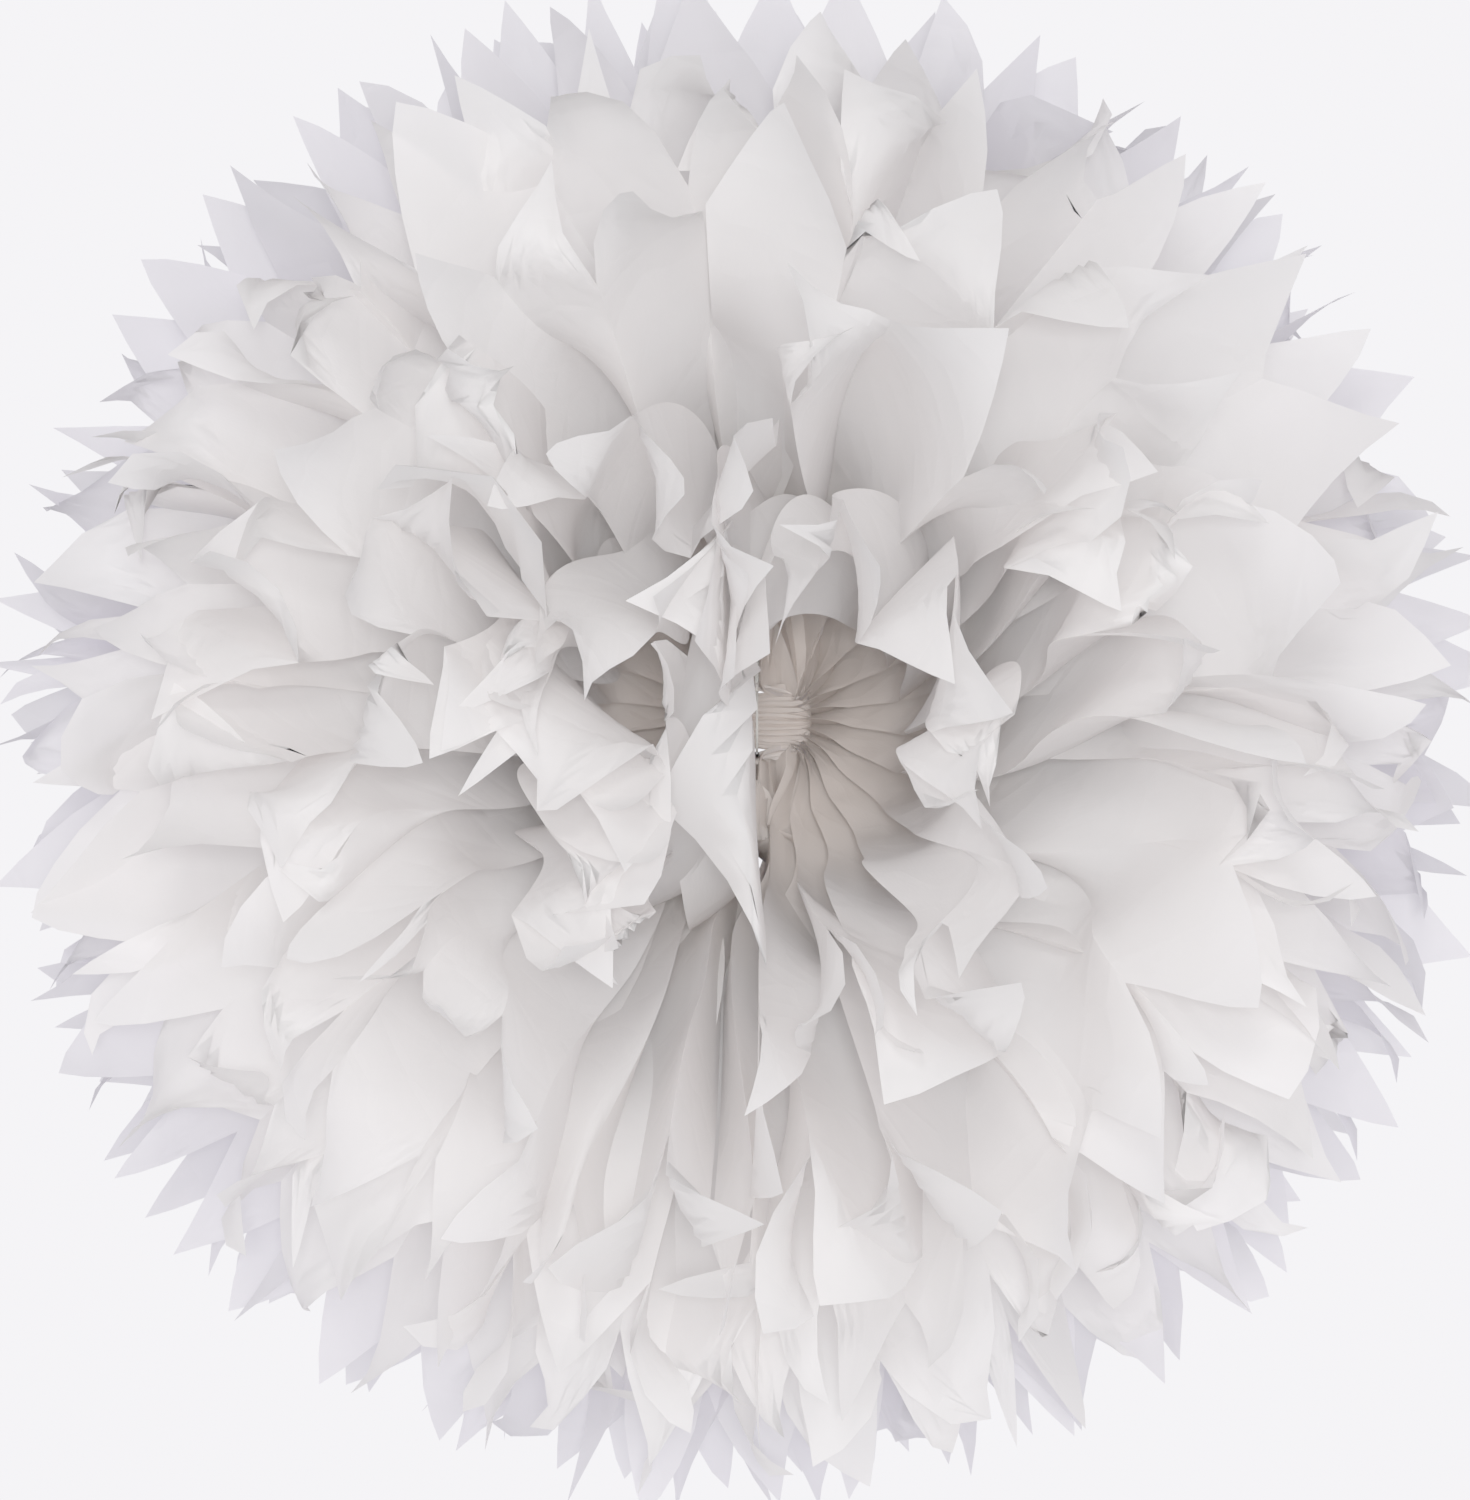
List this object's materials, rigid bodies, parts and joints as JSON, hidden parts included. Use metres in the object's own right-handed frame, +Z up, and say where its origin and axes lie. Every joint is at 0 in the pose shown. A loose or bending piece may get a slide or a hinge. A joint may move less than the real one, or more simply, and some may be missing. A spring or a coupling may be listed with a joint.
{
  "type": "tissue-paper pom-pom",
  "caption": "Hanging tissue-paper pom-pom: folded tissue sheets tied at the waist with wire and pulled apart into a ball of pointed petals.",
  "frame": {"origin": "the point where a thread bears in the hanging eye, at the inside of the eye's top", "axes": "+Z up along the wire's twisted stem, +X to the right along the tied waist, -Y towards the front of the ball"},
  "size_m": [0.4656, 0.4074, 0.4761],
  "materials": {
    "tissue": "matte",
    "wire": "satin"
  },
  "bodies": {
    "tied_waist": {"gathered_waist": "tissue", "tie_wire": "wire"},
    "front_right_leaf_1": {"front_right_leaf_1": "tissue"},
    "front_right_leaf_2": {"front_right_leaf_2": "tissue"},
    "front_right_leaf_3": {"front_right_leaf_3": "tissue"},
    "front_right_leaf_4": {"front_right_leaf_4": "tissue"},
    "front_right_leaf_5": {"front_right_leaf_5": "tissue"},
    "front_right_leaf_6": {"front_right_leaf_6": "tissue"},
    "front_right_leaf_7": {"front_right_leaf_7": "tissue"},
    "front_left_leaf_1": {"front_left_leaf_1": "tissue"},
    "front_left_leaf_2": {"front_left_leaf_2": "tissue"},
    "front_left_leaf_3": {"front_left_leaf_3": "tissue"},
    "front_left_leaf_4": {"front_left_leaf_4": "tissue"},
    "front_left_leaf_5": {"front_left_leaf_5": "tissue"},
    "front_left_leaf_6": {"front_left_leaf_6": "tissue"},
    "front_left_leaf_7": {"front_left_leaf_7": "tissue"},
    "back_right_leaf_1": {"back_right_leaf_1": "tissue"},
    "back_right_leaf_2": {"back_right_leaf_2": "tissue"},
    "back_right_leaf_3": {"back_right_leaf_3": "tissue"},
    "back_right_leaf_4": {"back_right_leaf_4": "tissue"},
    "back_right_leaf_5": {"back_right_leaf_5": "tissue"},
    "back_right_leaf_6": {"back_right_leaf_6": "tissue"},
    "back_right_leaf_7": {"back_right_leaf_7": "tissue"},
    "back_left_leaf_1": {"back_left_leaf_1": "tissue"},
    "back_left_leaf_2": {"back_left_leaf_2": "tissue"},
    "back_left_leaf_3": {"back_left_leaf_3": "tissue"},
    "back_left_leaf_4": {"back_left_leaf_4": "tissue"},
    "back_left_leaf_5": {"back_left_leaf_5": "tissue"},
    "back_left_leaf_6": {"back_left_leaf_6": "tissue"},
    "back_left_leaf_7": {"back_left_leaf_7": "tissue"}
  },
  "joints": [
    {"name": "front_right_leaf_1_swing", "type": "hinge", "parent": "tied_waist", "child": "front_right_leaf_1", "pos_m": [0.024, 0, -0.0353], "axis": [0, 0, 1], "range_deg": [0, 24]},
    {"name": "front_right_leaf_2_swing", "type": "hinge", "parent": "tied_waist", "child": "front_right_leaf_2", "pos_m": [0.024, 0, -0.0353], "axis": [0, 0, 1], "range_deg": [0, 19.4]},
    {"name": "front_right_leaf_3_swing", "type": "hinge", "parent": "tied_waist", "child": "front_right_leaf_3", "pos_m": [0.024, 0, -0.0353], "axis": [0, 0, 1], "range_deg": [0, 15.1]},
    {"name": "front_right_leaf_4_swing", "type": "hinge", "parent": "tied_waist", "child": "front_right_leaf_4", "pos_m": [0.024, 0, -0.0353], "axis": [0, 0, 1], "range_deg": [0, 11.1]},
    {"name": "front_right_leaf_5_swing", "type": "hinge", "parent": "tied_waist", "child": "front_right_leaf_5", "pos_m": [0.024, 0, -0.0353], "axis": [0, 0, 1], "range_deg": [0, 7.4]},
    {"name": "front_right_leaf_6_swing", "type": "hinge", "parent": "tied_waist", "child": "front_right_leaf_6", "pos_m": [0.024, 0, -0.0353], "axis": [0, 0, 1], "range_deg": [0, 4]},
    {"name": "front_right_leaf_7_swing", "type": "hinge", "parent": "tied_waist", "child": "front_right_leaf_7", "pos_m": [0.024, 0, -0.0353], "axis": [0, 0, 1], "range_deg": [0, 1.3]},
    {"name": "front_left_leaf_1_swing", "type": "hinge", "parent": "tied_waist", "child": "front_left_leaf_1", "pos_m": [-0.024, 0, -0.0353], "axis": [0, 0, -1], "range_deg": [0, 24]},
    {"name": "front_left_leaf_2_swing", "type": "hinge", "parent": "tied_waist", "child": "front_left_leaf_2", "pos_m": [-0.024, 0, -0.0353], "axis": [0, 0, -1], "range_deg": [0, 19.4]},
    {"name": "front_left_leaf_3_swing", "type": "hinge", "parent": "tied_waist", "child": "front_left_leaf_3", "pos_m": [-0.024, 0, -0.0353], "axis": [0, 0, -1], "range_deg": [0, 15.1]},
    {"name": "front_left_leaf_4_swing", "type": "hinge", "parent": "tied_waist", "child": "front_left_leaf_4", "pos_m": [-0.024, 0, -0.0353], "axis": [0, 0, -1], "range_deg": [0, 11.1]},
    {"name": "front_left_leaf_5_swing", "type": "hinge", "parent": "tied_waist", "child": "front_left_leaf_5", "pos_m": [-0.024, 0, -0.0353], "axis": [0, 0, -1], "range_deg": [0, 7.4]},
    {"name": "front_left_leaf_6_swing", "type": "hinge", "parent": "tied_waist", "child": "front_left_leaf_6", "pos_m": [-0.024, 0, -0.0353], "axis": [0, 0, -1], "range_deg": [0, 4]},
    {"name": "front_left_leaf_7_swing", "type": "hinge", "parent": "tied_waist", "child": "front_left_leaf_7", "pos_m": [-0.024, 0, -0.0353], "axis": [0, 0, -1], "range_deg": [0, 1.3]},
    {"name": "back_right_leaf_1_swing", "type": "hinge", "parent": "tied_waist", "child": "back_right_leaf_1", "pos_m": [0.024, 0, -0.0353], "axis": [0, 0, -1], "range_deg": [0, 24]},
    {"name": "back_right_leaf_2_swing", "type": "hinge", "parent": "tied_waist", "child": "back_right_leaf_2", "pos_m": [0.024, 0, -0.0353], "axis": [0, 0, -1], "range_deg": [0, 19.4]},
    {"name": "back_right_leaf_3_swing", "type": "hinge", "parent": "tied_waist", "child": "back_right_leaf_3", "pos_m": [0.024, 0, -0.0353], "axis": [0, 0, -1], "range_deg": [0, 15.1]},
    {"name": "back_right_leaf_4_swing", "type": "hinge", "parent": "tied_waist", "child": "back_right_leaf_4", "pos_m": [0.024, 0, -0.0353], "axis": [0, 0, -1], "range_deg": [0, 11.1]},
    {"name": "back_right_leaf_5_swing", "type": "hinge", "parent": "tied_waist", "child": "back_right_leaf_5", "pos_m": [0.024, 0, -0.0353], "axis": [0, 0, -1], "range_deg": [0, 7.4]},
    {"name": "back_right_leaf_6_swing", "type": "hinge", "parent": "tied_waist", "child": "back_right_leaf_6", "pos_m": [0.024, 0, -0.0353], "axis": [0, 0, -1], "range_deg": [0, 4]},
    {"name": "back_right_leaf_7_swing", "type": "hinge", "parent": "tied_waist", "child": "back_right_leaf_7", "pos_m": [0.024, 0, -0.0353], "axis": [0, 0, -1], "range_deg": [0, 1.3]},
    {"name": "back_left_leaf_1_swing", "type": "hinge", "parent": "tied_waist", "child": "back_left_leaf_1", "pos_m": [-0.024, 0, -0.0353], "axis": [0, 0, 1], "range_deg": [0, 24]},
    {"name": "back_left_leaf_2_swing", "type": "hinge", "parent": "tied_waist", "child": "back_left_leaf_2", "pos_m": [-0.024, 0, -0.0353], "axis": [0, 0, 1], "range_deg": [0, 19.4]},
    {"name": "back_left_leaf_3_swing", "type": "hinge", "parent": "tied_waist", "child": "back_left_leaf_3", "pos_m": [-0.024, 0, -0.0353], "axis": [0, 0, 1], "range_deg": [0, 15.1]},
    {"name": "back_left_leaf_4_swing", "type": "hinge", "parent": "tied_waist", "child": "back_left_leaf_4", "pos_m": [-0.024, 0, -0.0353], "axis": [0, 0, 1], "range_deg": [0, 11.1]},
    {"name": "back_left_leaf_5_swing", "type": "hinge", "parent": "tied_waist", "child": "back_left_leaf_5", "pos_m": [-0.024, 0, -0.0353], "axis": [0, 0, 1], "range_deg": [0, 7.4]},
    {"name": "back_left_leaf_6_swing", "type": "hinge", "parent": "tied_waist", "child": "back_left_leaf_6", "pos_m": [-0.024, 0, -0.0353], "axis": [0, 0, 1], "range_deg": [0, 4]},
    {"name": "back_left_leaf_7_swing", "type": "hinge", "parent": "tied_waist", "child": "back_left_leaf_7", "pos_m": [-0.024, 0, -0.0353], "axis": [0, 0, 1], "range_deg": [0, 1.3]}
  ],
  "couplings": [
    {"joint": "front_right_leaf_2_swing", "follows": "front_right_leaf_1_swing", "ratio": 0.80769},
    {"joint": "front_right_leaf_3_swing", "follows": "front_right_leaf_1_swing", "ratio": 0.62821},
    {"joint": "front_right_leaf_4_swing", "follows": "front_right_leaf_1_swing", "ratio": 0.46154},
    {"joint": "front_right_leaf_5_swing", "follows": "front_right_leaf_1_swing", "ratio": 0.30769},
    {"joint": "front_right_leaf_6_swing", "follows": "front_right_leaf_1_swing", "ratio": 0.16667},
    {"joint": "front_right_leaf_7_swing", "follows": "front_right_leaf_1_swing", "ratio": 0.05128},
    {"joint": "front_left_leaf_2_swing", "follows": "front_left_leaf_1_swing", "ratio": 0.80769},
    {"joint": "front_left_leaf_3_swing", "follows": "front_left_leaf_1_swing", "ratio": 0.62821},
    {"joint": "front_left_leaf_4_swing", "follows": "front_left_leaf_1_swing", "ratio": 0.46154},
    {"joint": "front_left_leaf_5_swing", "follows": "front_left_leaf_1_swing", "ratio": 0.30769},
    {"joint": "front_left_leaf_6_swing", "follows": "front_left_leaf_1_swing", "ratio": 0.16667},
    {"joint": "front_left_leaf_7_swing", "follows": "front_left_leaf_1_swing", "ratio": 0.05128},
    {"joint": "back_right_leaf_2_swing", "follows": "back_right_leaf_1_swing", "ratio": 0.80769},
    {"joint": "back_right_leaf_3_swing", "follows": "back_right_leaf_1_swing", "ratio": 0.62821},
    {"joint": "back_right_leaf_4_swing", "follows": "back_right_leaf_1_swing", "ratio": 0.46154},
    {"joint": "back_right_leaf_5_swing", "follows": "back_right_leaf_1_swing", "ratio": 0.30769},
    {"joint": "back_right_leaf_6_swing", "follows": "back_right_leaf_1_swing", "ratio": 0.16667},
    {"joint": "back_right_leaf_7_swing", "follows": "back_right_leaf_1_swing", "ratio": 0.05128},
    {"joint": "back_left_leaf_2_swing", "follows": "back_left_leaf_1_swing", "ratio": 0.80769},
    {"joint": "back_left_leaf_3_swing", "follows": "back_left_leaf_1_swing", "ratio": 0.62821},
    {"joint": "back_left_leaf_4_swing", "follows": "back_left_leaf_1_swing", "ratio": 0.46154},
    {"joint": "back_left_leaf_5_swing", "follows": "back_left_leaf_1_swing", "ratio": 0.30769},
    {"joint": "back_left_leaf_6_swing", "follows": "back_left_leaf_1_swing", "ratio": 0.16667},
    {"joint": "back_left_leaf_7_swing", "follows": "back_left_leaf_1_swing", "ratio": 0.05128}
  ]
}
